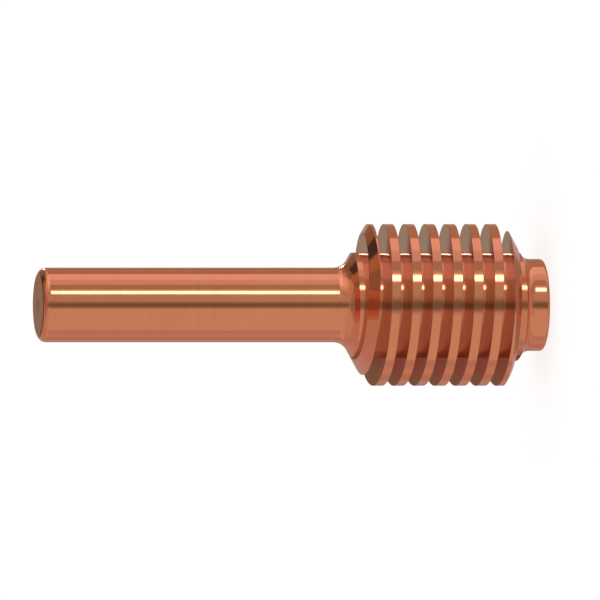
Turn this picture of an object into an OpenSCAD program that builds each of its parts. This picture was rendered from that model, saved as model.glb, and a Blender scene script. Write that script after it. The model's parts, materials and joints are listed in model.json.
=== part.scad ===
// Plasma torch electrode: one turned copper piece with a helical cooling fin,
// and a round emitter pressed into its tip.
// The part stands on its rear face, at z = 0, with its axis along +Z and its tip on top.

/* [Shank] */
// Diameter of the shank
shank_d = 6.35; // [5:0.05:7]
// Length from the tip face to the corner where the shank meets the neck cone
shank_len = 26.27; // [18:0.01:32]
// Radius of the rounded edge of the tip face
tip_round = 0.68; // [0.2:0.01:1.2]
// Radius of the fillet between the shank and the neck cone
neck_fillet = 1.5; // [0.5:0.05:2]

/* [Finned section] */
// Diameter over the fin
fin_d = 13.75; // [12:0.05:16]
// Length over which the fin has its full diameter
land_len = 11.62; // [8:0.01:16]
// Diameter of the core at the bottom of the groove
core_d = 8.9; // [8.2:0.05:10]
// Advance of the fin in one turn
fin_pitch = 1.77; // [1.5:0.01:2.4]
// Thickness of the fin, along the axis
fin_t = 0.78; // [0.5:0.01:1]
// Height of the middle of the fin, on the +X side, over the start of the full diameter
fin_lead = 1.04; // [0:0.01:2]
// Angle between the axis and each end cone
cone_angle = 60; // [45:1:70]

/* [Rear boss] */
// Diameter of the boss
boss_d = 7.82; // [7:0.02:8.1]
// Length from the rear face to the corner where the boss meets the rear cone
boss_len = 1.76; // [1.3:0.01:3]
// Radius of the rounded edge of the rear face
boss_round = 0.34; // [0.1:0.01:0.6]
// Radius of the fillet between the boss and the rear cone
boss_fillet = 1; // [0.3:0.05:1.2]

/* [Emitter] */
// Diameter of the emitter and of the hole that it is pressed into
emitter_d = 1.3; // [0.8:0.05:2]
// Length of the emitter
emitter_len = 2.5; // [1:0.1:5]
// Angle of the drill point at the bottom of the emitter's hole
drill_point_angle = 118; // [90:1:140]

/* [Hidden] */
$fn = 96;
// Number of straight steps in one turn of the groove
STEPS = 48;
// Turns by which the groove's cutter runs on past each end of the core
RUN_OUT = 0.25;
// How far a cutting shape reaches past what it cuts
OVER = 0.5;

shank_r = shank_d / 2;
fin_r = fin_d / 2;
core_r = core_d / 2;
boss_r = boss_d / 2;
emitter_r = emitter_d / 2;

// Length of a cone that rises from radius a to radius b
function cone_len(a, b) = (b - a) / tan(cone_angle);

land_z0 = boss_len + cone_len(boss_r, fin_r);
land_z1 = land_z0 + land_len;
neck_z = land_z1 + cone_len(shank_r, fin_r);
tip_z = neck_z + shank_len;

// Distance from the corner of a fillet to the ends of its arc, along either side
function fillet_reach(r) = r * tan(cone_angle / 2);

groove_w = fin_pitch - fin_t;
groove_z0 = land_z0 + fin_lead + fin_pitch / 2;
// The groove runs out over both cones, past the heights at which they reach the core
rear_core_z = boss_len + cone_len(boss_r, core_r);
neck_core_z = neck_z - cone_len(shank_r, core_r);
steps_down = ceil(STEPS * (RUN_OUT + (groove_z0 + groove_w / 2 - rear_core_z) / fin_pitch));
steps_up = ceil(STEPS * (RUN_OUT + (neck_core_z + groove_w / 2 - groove_z0) / fin_pitch));

// Outline of the blank. Its edges are rounded by circles that are added,
// and its two inner corners are filleted by circles that are taken away.
module blank_outline() {
    rear_reach = fillet_reach(boss_fillet);
    neck_reach = fillet_reach(neck_fillet);
    difference() {
        union() {
            polygon([
                [0, 0],
                [boss_r - boss_round, 0],
                [boss_r, boss_round],
                [boss_r, boss_len - rear_reach],
                [boss_r + rear_reach * sin(cone_angle), boss_len + rear_reach * cos(cone_angle)],
                [fin_r, land_z0],
                [fin_r, land_z1],
                [shank_r + neck_reach * sin(cone_angle), neck_z - neck_reach * cos(cone_angle)],
                [shank_r, neck_z + neck_reach],
                [shank_r, tip_z - tip_round],
                [shank_r - tip_round, tip_z],
                [0, tip_z]
            ]);
            translate([boss_r - boss_round, boss_round])
                circle(r = boss_round);
            translate([shank_r - tip_round, tip_z - tip_round])
                circle(r = tip_round);
        }
        translate([boss_r + boss_fillet, boss_len - rear_reach])
            circle(r = boss_fillet);
        translate([shank_r + neck_fillet, neck_z + neck_reach])
            circle(r = neck_fillet);
    }
}

module blank() {
    rotate_extrude()
        blank_outline();
}

// Corner points of the groove's section at step i, where the angle falls as the height rises
function groove_ring(i) =
    let (a = -360 * i / STEPS, z = groove_z0 + fin_pitch * i / STEPS)
    [for (c = [[core_r - OVER, -1], [fin_r + OVER, -1], [fin_r + OVER, 1], [core_r - OVER, 1]])
        [c[0] * cos(a), c[0] * sin(a), z + c[1] * groove_w / 2]];

// Square helical bar that sweeps out the groove, core included
module groove_bar() {
    count = steps_down + steps_up;
    polyhedron(
        points = [for (i = [-steps_down : steps_up]) for (p = groove_ring(i)) p],
        faces = concat(
            [[0, 1, 2, 3]],
            [for (i = [0 : count - 1]) for (j = [0 : 3]) for (f = [
                [4 * i + j, 4 * i + 4 + (j + 1) % 4, 4 * i + (j + 1) % 4],
                [4 * i + j, 4 * i + 4 + j, 4 * i + 4 + (j + 1) % 4]
            ]) f],
            [[4 * count + 3, 4 * count + 2, 4 * count + 1, 4 * count]]
        )
    );
}

module groove() {
    difference() {
        groove_bar();
        cylinder(r = core_r, h = tip_z);
    }
}

// Blind hole for the emitter, with the cone that a drill leaves
module emitter_hole() {
    point_len = emitter_r / tan(drill_point_angle / 2);
    rotate_extrude()
        polygon([
            [0, tip_z - emitter_len - point_len],
            [emitter_r, tip_z - emitter_len],
            [emitter_r, tip_z + OVER],
            [0, tip_z + OVER]
        ]);
}

module electrode_body() {
    color("peru")
        difference() {
            blank();
            groove();
            emitter_hole();
        }
}

module hafnium_emitter() {
    color("dimgray")
        translate([0, 0, tip_z - emitter_len])
            cylinder(r = emitter_r, h = emitter_len);
}

electrode_body();
hafnium_emitter();
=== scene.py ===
"""Plasma torch electrode, dressed for its picture: turned copper with a helical fin, and a grey emitter."""

import json
import math

import bpy
from mathutils import Matrix, Vector
from mathutils.geometry import delaunay_2d_cdt


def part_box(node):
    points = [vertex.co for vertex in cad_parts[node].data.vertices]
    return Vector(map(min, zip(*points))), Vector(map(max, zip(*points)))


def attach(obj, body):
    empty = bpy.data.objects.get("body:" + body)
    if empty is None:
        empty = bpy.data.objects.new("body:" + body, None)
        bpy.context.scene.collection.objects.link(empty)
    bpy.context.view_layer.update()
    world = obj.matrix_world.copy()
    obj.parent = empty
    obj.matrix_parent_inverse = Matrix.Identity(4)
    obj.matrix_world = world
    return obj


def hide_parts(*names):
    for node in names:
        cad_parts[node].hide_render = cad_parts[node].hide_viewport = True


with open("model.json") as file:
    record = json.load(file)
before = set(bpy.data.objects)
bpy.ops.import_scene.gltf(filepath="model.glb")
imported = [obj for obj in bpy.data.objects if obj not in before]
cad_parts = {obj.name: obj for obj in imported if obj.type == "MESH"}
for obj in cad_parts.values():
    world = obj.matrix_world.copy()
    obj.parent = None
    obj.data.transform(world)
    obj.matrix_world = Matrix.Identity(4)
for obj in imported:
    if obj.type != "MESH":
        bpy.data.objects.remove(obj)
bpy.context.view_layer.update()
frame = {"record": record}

# Sizes in millimetres, measured on the frame where it holds them
MM = 0.001
mounts = {m["name"]: m for m in frame["record"]["mounts"]}
body_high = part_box("electrode_body")[1]
emitter_low, emitter_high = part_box("hafnium_emitter")
tip_z = body_high.z / MM
fin_r = body_high.x / MM
shank_r = mounts["shank"]["dims"]["r_mm"]
boss_r = mounts["rear_boss"]["dims"]["r_mm"]
emitter_r = emitter_high.x / MM
emitter_len = (emitter_high.z - emitter_low.z) / MM

# Sizes that the frame does not hold, as the solid has them
shank_len = 26.27
tip_round = 0.68
neck_fillet = 1.5
core_r = 4.45
fin_pitch = 1.77
fin_t = 0.78
fin_lead = 1.04
cone_angle = math.radians(60)
boss_len = 1.76
boss_round = 0.34
boss_fillet = 1.0
drill_half_angle = math.radians(118 / 2)
# Width of the broken edge along the fin
edge_break = 0.02
# Depth and width of the shallow seam between the emitter and the copper around it
seam = 0.02

# Heights that follow from the sizes
neck_z = tip_z - shank_len
land_z1 = neck_z - (fin_r - shank_r) / math.tan(cone_angle)
land_z0 = boss_len + (fin_r - boss_r) / math.tan(cone_angle)
rear_core_z = boss_len + (core_r - boss_r) / math.tan(cone_angle)
neck_core_z = neck_z - (core_r - shank_r) / math.tan(cone_angle)
rear_reach = boss_fillet * math.tan(cone_angle / 2)
neck_reach = neck_fillet * math.tan(cone_angle / 2)
rear_fillet_z = boss_len + rear_reach * math.cos(cone_angle)
neck_fillet_z = neck_z - neck_reach * math.cos(cone_angle)

TURN = 2 * math.pi
# Number of meridians around the axis
COLUMNS = 288
# Turns of the fin's lines that are tried beyond each end of the part
SPARE_TURNS = 2
# Decimals of a millimetre to which two corners have to agree to become one point of a mesh
POINT_DECIMALS = 4
# Distances in millimetres that count as none: between two points of the unrolled blank, over the core,
# and beside an edge of the fin
PLANE_SLACK = 1e-5
CORE_SLACK = 1e-4
EDGE_SLACK = 2e-3

# Places of the two finishes of the copper in the body's list of materials
TURNED, FACED = 0, 1
# Colours of the metals, where they are darker and where they are lighter, and the values of a noise
# at which the first ends and the second begins
COPPER = (0.78, 0.270, 0.132), (0.82, 0.300, 0.150)
HAFNIUM = (0.36, 0.32, 0.28), (0.44, 0.40, 0.35)
NOISE_RANGE = 0.3, 0.7
# Height of a feed mark and of the emitter's grain
mark_height = 0.01
# Number of feed marks, of bands of them, of clouds, of chatter marks and of the emitter's grains in a metre
marks_per_m = 9000.0
bands_per_m = 1400.0
clouds_per_m = 260.0
chatter_per_m = 6000.0
grains_per_m = 9000.0
# Marks of a chattering tool: their middle over the neck and under the tip face, half the height of
# each band, how much deeper than the feed marks they are, the share of that depth that they have at
# the tip, and how far they stray from a ring round the axis
chatter_over_neck = 0.2
chatter_under_tip = 0.4
neck_chatter_reach = 0.4
tip_chatter_reach = 0.2
chatter_depth = 30.0
tip_chatter_share = 0.5
chatter_stray = 0.3

# The studio is a tent of cloth round the part, with cards, a strip light and a small lamp hung in it.
# Each has a middle and a half width round the axis, a middle and a half height over the horizon,
# a soft edge, and a colour. Angles are in degrees, round the axis from the side of the camera
# towards the side that is up in the picture, and a later card hangs in front of an earlier one.
CLOTH = (0.57, 0.46, 0.47)
CARDS = {
    "front wall": (-47, 40, 0, 74, 8, (0.69, 0.67, 0.68)),
    "lower side wall": (-108, 9, 0, 72, 6, (0.63, 0.55, 0.57)),
    "lower side card": (-93, 6, -40, 43, 5, (0.55, 0.51, 0.59)),
    "lower back card": (-130, 9, -40, 43, 6, (0.53, 0.43, 0.38)),
    "upper back sheet": (135, 30, 24, 14, 6, (0.32, 0.26, 0.22)),
    "upper side wall": (70, 25, 0, 64, 8, (0.74, 0.70, 0.82)),
    "side light": (98, 14, -24, 25, 10, (0.96, 0.87, 1.05)),
    "upper back wall": (138, 27, -30, 42, 4, (0.48, 0.39, 0.32)),
    "upper front card": (18, 14, 0, 64, 6, (0.56, 0.56, 0.55)),
    "grey card": (55, 10.5, -42, 44, 4, (0.45, 0.45, 0.41)),
    "dark card": (-0.5, 8.5, 0, 64, 14, (0.20, 0.23, 0.20)),
    "high front wall": (-66, 38, 52, 20, 8, (0.64, 0.58, 0.59)),
    "warm side card": (60, 38, 62, 12, 8, (0.60, 0.51, 0.39)),
    "brown edge card": (114, 14, 42.5, 8, 6, (0.26, 0.21, 0.17)),
    "roof": (0, 180, 90, 20, 8, (0.45, 0.38, 0.36)),
    "front roof": (0, 40, 90, 24, 10, (0.34, 0.31, 0.33)),
    "golden card": (76, 17, 31, 8, 8, (0.92, 0.88, 0.76)),
    "top light": (84, 24, 12, 10, 8, (1.13, 1.09, 1.27)),
    "side shade": (108, 10, 26, 9, 8, (0.44, 0.39, 0.38)),
    "front sheet": (32, 13, 9, 6, 5, (0.64, 0.67, 0.62)),
    "lower sheet": (-105, 18, 15, 5, 5, (0.74, 0.72, 0.85)),
    "low back card": (182, 26, -49, 15, 6, (0.36, 0.27, 0.23)),
    "lower edge card": (-158, 8, -14, 14, 5, (0.45, 0.35, 0.34)),
    "upper edge card": (150, 14, -14, 12, 5, (0.42, 0.34, 0.25)),
    "low front card": (15, 48, -51, 6, 6, (0.38, 0.40, 0.42)),
    "back light": (119, 9, 7, 6, 6, (0.86, 0.74, 0.85)),
    "back wall": (176, 28, 4, 9, 4, (0.47, 0.41, 0.31)),
    "high back card": (162, 30, 21, 10, 4, (0.28, 0.20, 0.14)),
    "black card": (151, 22, 41, 8.5, 6, (0.07, 0.07, 0.06)),
    "black back card": (182, 14, 36, 16, 8, (0.13, 0.09, 0.06)),
    "warm card": (133, 25, 53.5, 5.5, 4, (0.45, 0.29, 0.17)),
    "back roof": (155, 26, 66, 9, 4, (0.31, 0.21, 0.155)),
    "strip glow": (45, 4, -11, 8, 6, (0.68, 0.67, 0.66)),
    "strip light": (38.8, 3.8, -11, 6, 5.5, (6.4, 6.4, 6.4)),
    "small lamp": (151.5, 4.5, 4.4, 2.2, 1.5, (14.0, 14.0, 14.0)),
}
# Radius of the tent and half the width of the floor, in metres
TENT_RADIUS = 3.0
FLOOR_HALF = 1.2
# Colours of the plain light, of the background and of the floor, and how strongly the floor glows,
# so that it shows as white as the background and still takes a shadow
PLAIN_LIGHT = (0.6, 0.6, 0.6, 1)
WHITE = (1, 1, 1, 1)
FLOOR_GREY = (0.4, 0.4, 0.4, 1)
FLOOR_GLOW = 0.79


def outer_r(z):
    """Radius of the blank at height z, between the two end fillets."""
    slope = math.tan(cone_angle)
    return min(boss_r + (z - boss_len) * slope, fin_r, shank_r + (neck_z - z) * slope)


def outer_normal(z):
    """Normal of the blank at height z, as its radial and its axial share."""
    if z < land_z0:
        return math.cos(cone_angle), -math.sin(cone_angle)
    if z > land_z1:
        return math.cos(cone_angle), math.sin(cone_angle)
    return 1.0, 0.0


def fin_phase(z, angle):
    """Height above the lower edge of the fin turn that lies at or below this point."""
    middle = land_z0 + fin_lead - fin_pitch * angle / TURN
    return (z - middle + fin_t / 2) % fin_pitch


def near_edge(z, angle):
    """Is this point on one of the two edges of the fin?"""
    phase = fin_phase(z, angle)
    return min(phase, fin_pitch - phase, abs(phase - fin_t)) < EDGE_SLACK


def around(radial, axial, angle):
    """Unit normal at an angle around the axis, from its radial and axial share."""
    length = math.hypot(radial, axial)
    return Vector((radial * math.cos(angle), radial * math.sin(angle), axial)) / length


def helicoid_normal(r, angle, upper):
    """Unit normal of the fin's upper or lower side, at a radius and an angle."""
    side = 1 if upper else -1
    lean = side * fin_pitch / (TURN * r)
    normal = Vector((-math.sin(angle) * lean, math.cos(angle) * lean, side))
    return normal.normalized()


class Skin:
    """Collects the faces of one mesh, with the exact normal of the surface at each corner."""

    def __init__(self):
        self.points = []
        self.index = {}
        self.faces = []
        self.finishes = []
        self.normals = []

    def point(self, x, y, z):
        """Number of the mesh's point at this place, which is added if it is new."""
        key = tuple(round(v, POINT_DECIMALS) for v in (x, y, z))
        if key not in self.index:
            self.index[key] = len(self.points)
            self.points.append((x * MM, y * MM, z * MM))
        return self.index[key]

    def face(self, corners, finish=0):
        """Adds a face from (radius, angle, height, normal) corners, and leaves out one with no area."""
        ids, normals = [], []
        for r, a, z, n in corners:
            i = self.point(r * math.cos(a), r * math.sin(a), z)
            if i not in ids:
                ids.append(i)
                normals.append(n)
        if len(ids) > 2:
            self.faces.append(ids)
            self.finishes.append(finish)
            self.normals.extend(normals)

    def build(self, name, *materials):
        """Makes the object. A face's finish is the place of its material among those given here."""
        mesh = bpy.data.meshes.new(name)
        mesh.from_pydata(self.points, [], self.faces)
        mesh.polygons.foreach_set("material_index", self.finishes)
        mesh.shade_smooth()
        mesh.normals_split_custom_set(self.normals)
        for material in materials:
            mesh.materials.append(material)
        obj = bpy.data.objects.new(name, mesh)
        bpy.context.collection.objects.link(obj)
        return obj


def revolve(skin, rows, finish=0):
    """Adds the surface between rows of (radius, height, normal), each normal a radial and an axial share.

    The rows run from below to above with the axis on their left, so that the faces look outwards."""
    for (r0, z0, n0), (r1, z1, n1) in zip(rows, rows[1:]):
        for j in range(COLUMNS):
            a0 = TURN * j / COLUMNS
            a1 = TURN * (j + 1) / COLUMNS
            skin.face([
                (r0, a0, z0, around(*n0, a0)),
                (r0, a1, z0, around(*n0, a1)),
                (r1, a1, z1, around(*n1, a1)),
                (r1, a0, z1, around(*n1, a0)),
            ], finish)


def straight(r0, z0, r1, z1, parts=1):
    """Rows along a straight side, with its one normal."""
    normal = (z1 - z0, r0 - r1)
    shares = [i / parts for i in range(parts + 1)]
    return [(r0 + (r1 - r0) * t, z0 + (z1 - z0) * t, normal) for t in shares]


def arc(centre_r, centre_z, radius, start, end, parts, hollow=False):
    """Rows along an arc, with angles measured from the radial direction towards +z."""
    side = -1 if hollow else 1
    rows = []
    for i in range(parts + 1):
        a = start + (end - start) * i / parts
        rows.append((
            centre_r + radius * math.cos(a),
            centre_z + radius * math.sin(a),
            (side * math.cos(a), side * math.sin(a)),
        ))
    return rows


def rear_surfaces(skin):
    """Rear face, boss with its rounded edge, and the fillet below the rear cone."""
    edge_r = boss_r - boss_round
    fillet_z = boss_len - rear_reach
    revolve(skin, straight(0, 0, edge_r, 0, parts=4))
    revolve(skin, arc(edge_r, boss_round, boss_round, -math.pi / 2, 0, parts=8))
    revolve(skin, straight(boss_r, boss_round, boss_r, fillet_z, parts=2))
    revolve(skin, arc(boss_r + boss_fillet, fillet_z, boss_fillet,
                      math.pi, math.pi - cone_angle, parts=10, hollow=True))


def front_surfaces(skin):
    """Neck fillet, shank with its rounded edge, tip face, and the emitter's hole."""
    edge_r = shank_r - tip_round
    edge_z = tip_z - tip_round
    fillet_z = neck_z + neck_reach
    hole_z = tip_z - emitter_len
    drill_z = hole_z - emitter_r / math.tan(drill_half_angle)
    revolve(skin, arc(shank_r + neck_fillet, fillet_z, neck_fillet,
                      math.pi + cone_angle, math.pi, parts=14, hollow=True))
    revolve(skin, straight(shank_r, fillet_z, shank_r, edge_z, parts=6))
    revolve(skin, arc(edge_r, edge_z, tip_round, 0, math.pi / 2, parts=12))
    revolve(skin, straight(edge_r, tip_z, emitter_r + seam, tip_z, parts=3), FACED)
    revolve(skin, straight(emitter_r + seam, tip_z, emitter_r, tip_z - seam), FACED)
    revolve(skin, straight(emitter_r, tip_z - seam, emitter_r, hole_z, parts=2), FACED)
    revolve(skin, straight(emitter_r, hole_z, 0, drill_z), FACED)


def finned_plane():
    """Cuts the unrolled blank between the two end fillets into triangles along every edge of the fin.

    Gives the place of each point, as its angle and height, and the triangles between them."""
    places, edges = [], []

    def line(pairs):
        """Adds a row of points, each joined to the next by an edge."""
        first = len(places)
        places.extend(pairs)
        edges.extend((i, i + 1) for i in range(first, len(places) - 1))

    angles = [TURN * j / COLUMNS for j in range(COLUMNS + 1)]
    for z in (rear_fillet_z, rear_core_z, land_z0, land_z1, neck_core_z, neck_fillet_z):
        line([(a, z) for a in angles])
    # Both edges of the fin, and the inner side of each broken edge, from the middle of the fin
    offsets = (-fin_t / 2, -fin_t / 2 + edge_break, fin_t / 2 - edge_break, fin_t / 2)
    turns = range(-SPARE_TURNS, math.ceil(tip_z / fin_pitch) + SPARE_TURNS)
    for offset in offsets:
        for turn in turns:
            start = land_z0 + fin_lead + turn * fin_pitch + offset
            # The line falls by one pitch in a turn. It is kept where it lies between the two core circles.
            inside = [a for a in angles if rear_core_z < start - fin_pitch * a / TURN < neck_core_z]
            for z in (rear_core_z, neck_core_z):
                crossing = (start - z) / fin_pitch * TURN
                if 0 < crossing < TURN:
                    inside.append(crossing)
            inside.sort()
            if len(inside) > 1:
                line([(a, start - fin_pitch * a / TURN) for a in inside])
    # The unrolled plane's x is the angle times the fin's radius, and its y is the height
    flat = [Vector((a * fin_r, z)) for a, z in places]
    corners, _, triangles, sources, _, _ = delaunay_2d_cdt(flat, edges, [], 0, PLANE_SLACK)
    # The triangulation rounds the points, so each one that was given to it keeps its own place
    kept = [places[given[0]] if given else (corner.x / fin_r, corner.y)
            for corner, given in zip(corners, sources)]
    return kept, triangles


def finned_surfaces(skin):
    """The cones, the fin's crest with its broken edges, its two sides, and the core between them."""
    places, triangles = finned_plane()
    on_edge = [near_edge(z, a) and rear_core_z < z < neck_core_z for a, z in places]

    def crest_r(i):
        """Radius of the blank at this point, less the broken edge where the fin has one."""
        r = outer_r(places[i][1])
        return max(core_r, r - edge_break) if on_edge[i] and r > core_r else r

    def bounds_side(i):
        """Is this point on an edge of the fin, or where the fin has run out?"""
        return on_edge[i] or crest_r(i) <= core_r + CORE_SLACK

    fin_borders = {}
    for tri in triangles:
        a = sum(places[i][0] for i in tri) / 3
        z = sum(places[i][1] for i in tri) / 3
        phase = fin_phase(z, a)
        grooved = rear_core_z <= z <= neck_core_z
        if grooved and phase >= fin_t:
            skin.face([(core_r, *places[i], around(1, 0, places[i][0])) for i in tri], FACED)
            continue
        radial, axial = outer_normal(z)
        if grooved and phase < edge_break:
            axial -= 1
        elif grooved and phase > fin_t - edge_break:
            axial += 1
        skin.face([(crest_r(i), *places[i], around(radial, axial, places[i][0])) for i in tri])
        if grooved:
            for i, k in zip(tri, tri[1:] + tri[:1]):
                fin_borders[(i, k)] = phase > fin_t / 2
    # A side hangs on each border of the crest that no other triangle of the crest shares
    for (i, k), upper in fin_borders.items():
        if (k, i) not in fin_borders and bounds_side(i) and bounds_side(k):
            fin_side(skin, places[k], crest_r(k), places[i], crest_r(i), upper)


def fin_side(skin, start, start_r, end, end_r, upper):
    """One slice of the fin's side, from the crest down to the core, in two steps."""
    steps = 2
    for s in range(steps):
        corners = []
        for (a, z), r, t in (
            (start, start_r, s),
            (end, end_r, s),
            (end, end_r, s + 1),
            (start, start_r, s + 1),
        ):
            radius = r + (core_r - r) * t / steps
            corners.append((radius, a, z, helicoid_normal(radius, a, upper)))
        skin.face(corners, FACED)


def emitter_surfaces(skin):
    """Flat round face with a slightly broken edge, and the sides that the hole hides."""
    low = tip_z - emitter_len
    revolve(skin, straight(0, low, emitter_r, low))
    revolve(skin, straight(emitter_r, low, emitter_r, tip_z - seam))
    revolve(skin, straight(emitter_r, tip_z - seam, emitter_r - seam, tip_z))
    revolve(skin, straight(emitter_r - seam, tip_z, 0, tip_z, parts=3))


class Nodes:
    """Short calls for building a node tree."""

    def __init__(self, tree):
        self.tree = tree
        tree.nodes.clear()

    def add(self, kind, inputs=None, **settings):
        """Adds a node, with a link or a value for each input that is given."""
        node = self.tree.nodes.new(kind)
        for name, value in settings.items():
            setattr(node, name, value)
        for socket, value in (inputs or {}).items():
            if isinstance(value, bpy.types.NodeSocket):
                self.tree.links.new(value, node.inputs[socket])
            else:
                node.inputs[socket].default_value = value
        return node

    def math(self, operation, a, b=0.0, c=0.0):
        """Result of one operation on up to three values."""
        return self.add("ShaderNodeMath", {0: a, 1: b, 2: c}, operation=operation).outputs[0]

    def noise(self, where, per_metre, detail):
        """Value of a noise with this many features in a metre."""
        inputs = {"Vector": where, "Scale": per_metre, "Detail": detail}
        return self.add("ShaderNodeTexNoise", inputs).outputs[0]

    def ramp(self, value, colours):
        """Colour that goes from the first to the second over the usual range of a noise."""
        node = self.add("ShaderNodeValToRGB", {0: value})
        for end, place, colour in zip(node.color_ramp.elements, NOISE_RANGE, colours):
            end.position = place
            end.color = (*colour, 1.0)
        return node.outputs[0]

    def band(self, value, middle, half, soft, wraps=False):
        """One inside a band of values, and zero outside it, with a soft edge. An angle wraps round."""
        away = self.math("SUBTRACT", value, middle)
        if wraps:
            away = self.math("WRAP", away, 180.0, -180.0)
        return self.add("ShaderNodeMapRange", {
            "Value": self.math("ABSOLUTE", away),
            "From Min": half - soft / 2,
            "From Max": half + soft / 2,
            "To Min": 1.0,
            "To Max": 0.0,
        }, interpolation_type="SMOOTHSTEP").outputs[0]

    def mix(self, share, first, second):
        """Colour that goes from the first to the second as the share goes from zero to one."""
        first_socket, second_socket, result_socket = 6, 7, 2
        node = self.add("ShaderNodeMix", {"Factor": share, first_socket: first, second_socket: second},
                        data_type="RGBA")
        return node.outputs[result_socket]


def new_material(name):
    """A material, and the calls for its empty node tree."""
    material = bpy.data.materials.new(name)
    material.use_nodes = True
    return material, Nodes(material.node_tree)


def metal_output(n, colour, edge_tint, bare, rough, relief, relief_strength):
    """Ends a material with a metal that has fine relief. A bare share under one means some tarnish."""
    bump = n.add("ShaderNodeBump", {
        "Strength": relief_strength, "Distance": mark_height * MM, "Height": relief})
    shader = n.add("ShaderNodeBsdfPrincipled", {
        "Base Color": colour, "Metallic": bare, "Roughness": rough, "Normal": bump.outputs[0],
        "Specular Tint": (*edge_tint, 1.0)})
    n.add("ShaderNodeOutputMaterial", {0: shader.outputs[0]})


def copper(name, edge_tint, bare, dullness, marks_strength):
    """Bright copper with fine feed marks that run round the axis."""
    material, n = new_material(name)
    where = n.add("ShaderNodeTexCoord").outputs["Object"]
    xyz = n.add("ShaderNodeSeparateXYZ", {0: where})
    across = n.math("MULTIPLY", xyz.outputs["X"], xyz.outputs["X"])
    radius = n.math("SQRT", n.math("MULTIPLY_ADD", xyz.outputs["Y"], xyz.outputs["Y"], across))
    ring = n.add("ShaderNodeCombineXYZ", {0: radius, 1: xyz.outputs["Z"]}).outputs[0]
    marks = n.noise(ring, marks_per_m, detail=3.0)
    bands = n.noise(ring, bands_per_m, detail=2.0)
    cloud = n.noise(where, clouds_per_m, detail=4.0)
    # The tone is the mean of the bands and the clouds
    tone = n.math("MULTIPLY_ADD", bands, 0.5, n.math("MULTIPLY", cloud, 0.5))
    unevenness = 0.05
    rough = n.math("MULTIPLY_ADD", cloud, unevenness, dullness)
    rough = n.math("MULTIPLY_ADD", marks, unevenness, rough)

    def chatter_band(middle, reach):
        """Share of the chatter marks, around a height in millimetres."""
        return n.band(xyz.outputs["Z"], middle * MM, reach * MM, reach * MM)

    # In the neck fillet and round the tip the tool turns a corner, so it chatters and leaves deeper marks
    stray = (chatter_stray, chatter_stray, chatter_stray)
    uneven = n.add("ShaderNodeVectorMath", {0: where, 1: stray, 2: ring}, operation="MULTIPLY_ADD")
    chatter = n.noise(uneven.outputs[0], chatter_per_m, detail=2.0)
    neck = chatter_band(neck_z + chatter_over_neck, neck_chatter_reach)
    tip = chatter_band(tip_z - chatter_under_tip, tip_chatter_reach)
    corner = n.math("MULTIPLY_ADD", tip, tip_chatter_share, neck)
    relief = n.math("MULTIPLY_ADD", n.math("MULTIPLY", chatter, corner), chatter_depth, marks)
    metal_output(n, n.ramp(tone, COPPER), edge_tint, bare, rough, relief, marks_strength)
    return material


def hafnium(name, edge_tint, dullness, unevenness, grain_strength):
    """Ground grey metal, with a grain that runs in no direction."""
    material, n = new_material(name)
    where = n.add("ShaderNodeTexCoord").outputs["Object"]
    grain = n.noise(where, grains_per_m, detail=4.0)
    rough = n.math("MULTIPLY_ADD", grain, unevenness, dullness)
    metal_output(n, n.ramp(grain, HAFNIUM), edge_tint, 1.0, rough, grain, grain_strength)
    return material


def tent():
    """Hangs the studio round the part, as the inside of one glowing sphere."""
    bpy.ops.mesh.primitive_uv_sphere_add(segments=96, ring_count=48, radius=TENT_RADIUS)
    obj = bpy.context.object
    obj.name = "tent"
    material, n = new_material("tent_cloth")
    where = n.add("ShaderNodeTexCoord").outputs["Object"]
    xyz = n.add("ShaderNodeSeparateXYZ", {0: where})
    towards_camera = n.math("MULTIPLY", xyz.outputs["Y"], -1.0)
    degrees = 180 / math.pi
    around_axis = n.math("MULTIPLY", n.math("ARCTAN2", xyz.outputs["X"], towards_camera), degrees)
    rise = n.math("DIVIDE", xyz.outputs["Z"], TENT_RADIUS)
    height = n.math("MULTIPLY", n.math("ARCSINE", rise), degrees)

    def window(middle, half, height_middle, height_half, soft):
        """One where a card hangs, and zero elsewhere."""
        return n.math("MULTIPLY", n.band(around_axis, middle, half, soft, wraps=True),
                      n.band(height, height_middle, height_half, soft))

    colour = (*CLOTH, 1.0)
    for *place, card_colour in CARDS.values():
        colour = n.mix(window(*place), colour, (*card_colour, 1.0))
    glow = n.add("ShaderNodeEmission", {"Color": colour}).outputs[0]
    n.add("ShaderNodeOutputMaterial", {0: glow})
    material.cycles.emission_sampling = "NONE"
    obj.data.materials.append(material)
    # Only reflections see the tent. The camera sees a white background, and matt surfaces take plain light.
    obj.visible_camera = False
    obj.visible_diffuse = False
    obj.visible_shadow = False


def shown(n):
    """One for a ray that shows what it meets: straight from the camera, or by way of metal or glass."""
    path = n.add("ShaderNodeLightPath").outputs
    direct = n.math("MAXIMUM", path["Is Camera Ray"], path["Is Glossy Ray"])
    return n.math("MAXIMUM", direct, path["Is Transmission Ray"])


def white_world():
    """Plain light from all sides, and a white background wherever it shows."""
    world = bpy.data.worlds.new("white_world")
    bpy.context.scene.world = world
    world.use_nodes = True
    n = Nodes(world.node_tree)
    plain = n.add("ShaderNodeBackground", {"Color": PLAIN_LIGHT, "Strength": 1.0})
    white = n.add("ShaderNodeBackground", {"Color": WHITE, "Strength": 1.0})
    both = n.add("ShaderNodeMixShader", {0: shown(n), 1: plain.outputs[0], 2: white.outputs[0]})
    n.add("ShaderNodeOutputWorld", {0: both.outputs[0]})


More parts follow.
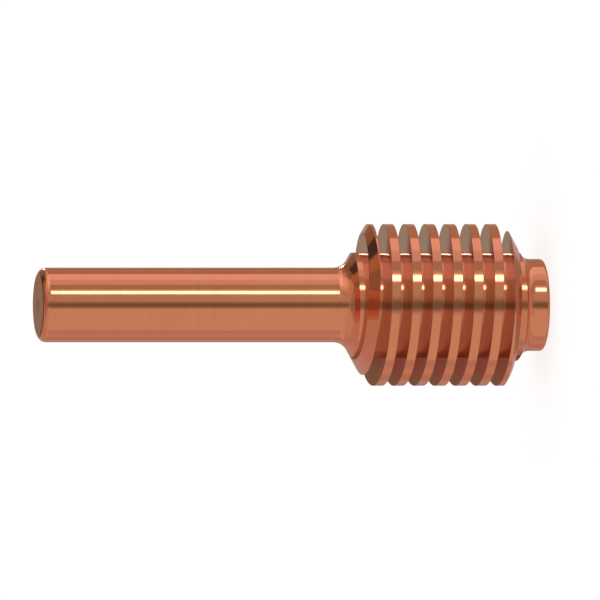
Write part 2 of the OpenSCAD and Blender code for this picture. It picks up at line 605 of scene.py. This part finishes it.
def floor():
    """White floor under the part, which takes its shadow."""
    bpy.ops.mesh.primitive_plane_add(size=2 * FLOOR_HALF, location=(0, 0, 0))
    obj = bpy.context.object
    obj.name = "floor"
    material, n = new_material("pale_floor")
    matt = n.add("ShaderNodeBsdfDiffuse", {"Color": FLOOR_GREY})
    strength = n.math("MULTIPLY", shown(n), FLOOR_GLOW)
    glow = n.add("ShaderNodeEmission", {"Color": WHITE, "Strength": strength})
    both = n.add("ShaderNodeAddShader", {0: matt.outputs[0], 1: glow.outputs[0]})
    n.add("ShaderNodeOutputMaterial", {0: both.outputs[0]})
    obj.data.materials.append(material)
    obj.visible_glossy = False


def camera():
    """The photograph's view: +X is up, and the tip is at the left and turned towards the camera."""
    tilt = math.radians(10)
    px_per_mm = 11.783
    # Place of the centre of the rear face, and of the picture's own centre, in pixels
    rear_x, rear_y = 542.7, 304.93
    middle = 300
    # Distance from the part and the range of depths that is drawn, in metres
    distance = 0.5
    nearest, farthest = 0.01, 10
    back = Vector((0, -math.cos(tilt), math.sin(tilt)))
    up = Vector((1, 0, 0))
    right = up.cross(back)
    centre = (right * (middle - rear_x) + up * (rear_y - middle)) / px_per_mm * MM
    turn = Matrix((right, up, back)).transposed()
    data = bpy.data.cameras.new("camera")
    data.type = "ORTHO"
    data.ortho_scale = 2 * middle / px_per_mm * MM
    data.clip_start = nearest
    data.clip_end = farthest
    obj = bpy.data.objects.new("camera", data)
    obj.matrix_world = Matrix.Translation(centre + back * distance) @ turn.to_4x4()
    bpy.context.collection.objects.link(obj)
    bpy.context.scene.camera = obj


body_skin = Skin()
rear_surfaces(body_skin)
front_surfaces(body_skin)
finned_surfaces(body_skin)
body = body_skin.build(
    "electrode_copper",
    copper("turned_copper", edge_tint=(1.0, 1.0, 1.0),
           bare=1.0, dullness=0.03, marks_strength=0.12),
    copper("faced_copper", edge_tint=(0.68, 0.68, 0.68),
           bare=0.86, dullness=0.06, marks_strength=0.16),
)
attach(body, "root")
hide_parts("electrode_body")

emitter_skin = Skin()
emitter_surfaces(emitter_skin)
emitter = emitter_skin.build(
    "emitter_face",
    hafnium("ground_hafnium", edge_tint=(0.78, 0.70, 0.66),
            dullness=0.16, unevenness=0.12, grain_strength=0.2),
)
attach(emitter, "root")
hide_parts("hafnium_emitter")

white_world()
tent()
floor()
camera()
bpy.context.scene.view_settings.view_transform = "Standard"
